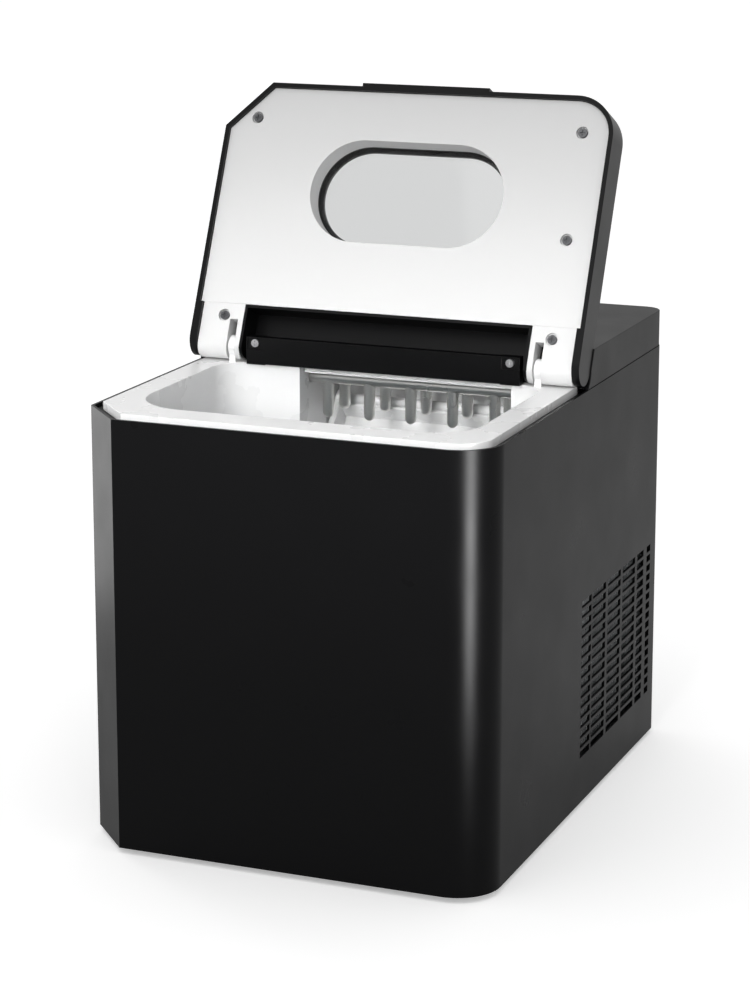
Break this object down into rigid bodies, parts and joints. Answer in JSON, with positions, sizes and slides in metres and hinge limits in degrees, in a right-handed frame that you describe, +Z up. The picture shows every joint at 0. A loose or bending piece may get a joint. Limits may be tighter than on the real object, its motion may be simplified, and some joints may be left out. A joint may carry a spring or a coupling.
{
  "type": "ice maker",
  "caption": "Countertop ice maker with a hinged windowed lid, white tub, finger evaporator, lift-out basket and side vents.",
  "frame": {"origin": "centre of the footprint on the floor", "axes": "+X to the machine's right seen from its front, +Y to the back, +Z up"},
  "size_m": [0.29, 0.38, 0.4888],
  "materials": {
    "black_satin": "satin black coated casing",
    "black_plastic": "fine-textured black ABS",
    "white_plastic": "glossy white ABS",
    "rubber_black": "soft black rubber",
    "zinc_screws": "bright zinc plated",
    "pan_steel": "galvanised pressed steel",
    "nickel": "nickel plated copper",
    "copper": "bare copper tube",
    "aluminium": "mill finish aluminium",
    "clear_pane": "clear acrylic pane",
    "grey_plastic": "light grey plastic",
    "basket_plastic": "frosted polypropylene",
    "board_green": "coated circuit board",
    "black_gloss": "glossy black panel",
    "lens": "clear lens",
    "silicone": "silicone hose"
  },
  "bodies": {
    "cabinet": {"base_pan": "pan_steel", "rubber_feet": "rubber_black", "casing": "black_satin", "rear_panel": "black_satin", "rear_panel_screws": "zinc_screws", "rim_gasket": "rubber_black", "tub": "white_plastic", "hinge_brackets": "white_plastic", "hinge_cover": "black_plastic", "hinge_cover_screws": "zinc_screws", "deck": "black_plastic", "control_panel": "black_gloss", "control_board": "board_green", "indicator_lenses": "lens", "evaporator_tube": "copper", "evaporator_fingers": "nickel", "evaporator_bracket": "grey_plastic", "ice_sensor": "black_plastic", "gear_motor": "pan_steel", "water_pump": "black_plastic", "water_tube": "silicone", "drain_spout": "white_plastic", "compressor": "pan_steel", "compressor_grommets": "rubber_black", "compressor_bolts": "zinc_screws", "condenser": "aluminium", "condenser_tubes": "copper", "fan_shroud": "black_plastic", "fan_motor": "pan_steel", "filter_drier": "copper", "gas_valve": "aluminium", "suction_line": "copper", "discharge_line": "copper", "power_board": "board_green", "power_inlet": "black_plastic"},
    "lid": {"lid_shell": "black_plastic", "lid_liner": "white_plastic", "lid_window": "clear_pane", "window_gasket": "rubber_black", "lid_screws": "zinc_screws", "hinge_pins": "zinc_screws"},
    "power_button": {"power_button": "grey_plastic"},
    "select_button": {"select_button": "grey_plastic"},
    "tray": {"water_tray": "white_plastic", "tray_shaft": "white_plastic"},
    "shovel": {"ice_shovel": "white_plastic"},
    "basket": {"ice_basket": "basket_plastic"},
    "fan": {"fan_blades": "black_plastic"},
    "plug": {"drain_plug": "black_plastic", "drain_seal": "rubber_black"}
  },
  "joints": [
    {"name": "lid_hinge", "type": "hinge", "parent": "cabinet", "child": "lid", "pos_m": [0, 0.002, 0.309], "axis": [1, 0, 0], "range_deg": [0, 114.5]},
    {"name": "power_press", "type": "slide", "parent": "cabinet", "child": "power_button", "axis": [0, 0, -1], "range_m": [0, 0.0015], "stiffness_N_per_m": 300},
    {"name": "select_press", "type": "slide", "parent": "cabinet", "child": "select_button", "axis": [0, 0, -1], "range_m": [0, 0.0015], "stiffness_N_per_m": 300},
    {"name": "tray_swing", "type": "hinge", "parent": "cabinet", "child": "tray", "pos_m": [0, 0.068, 0.262], "axis": [-1, 0, 0], "range_deg": [0, 45]},
    {"name": "shovel_swing", "type": "hinge", "parent": "cabinet", "child": "shovel", "pos_m": [0, 0.068, 0.262], "axis": [-1, 0, 0], "range_deg": [0, 27]},
    {"name": "basket_lift", "type": "slide", "parent": "cabinet", "child": "basket", "axis": [0, 0, -1], "range_m": [-0.2, 0]},
    {"name": "fan_spin", "type": "hinge", "parent": "cabinet", "child": "fan", "pos_m": [0, 0.082, 0.092], "axis": [1, 0, 0], "continuous": true},
    {"name": "plug_pull", "type": "slide", "parent": "cabinet", "child": "plug", "axis": [0, 1, 0], "range_m": [0, 0.03]}
  ],
  "couplings": [
    {"joint": "shovel_swing", "follows": "tray_swing", "ratio": 0.6}
  ]
}
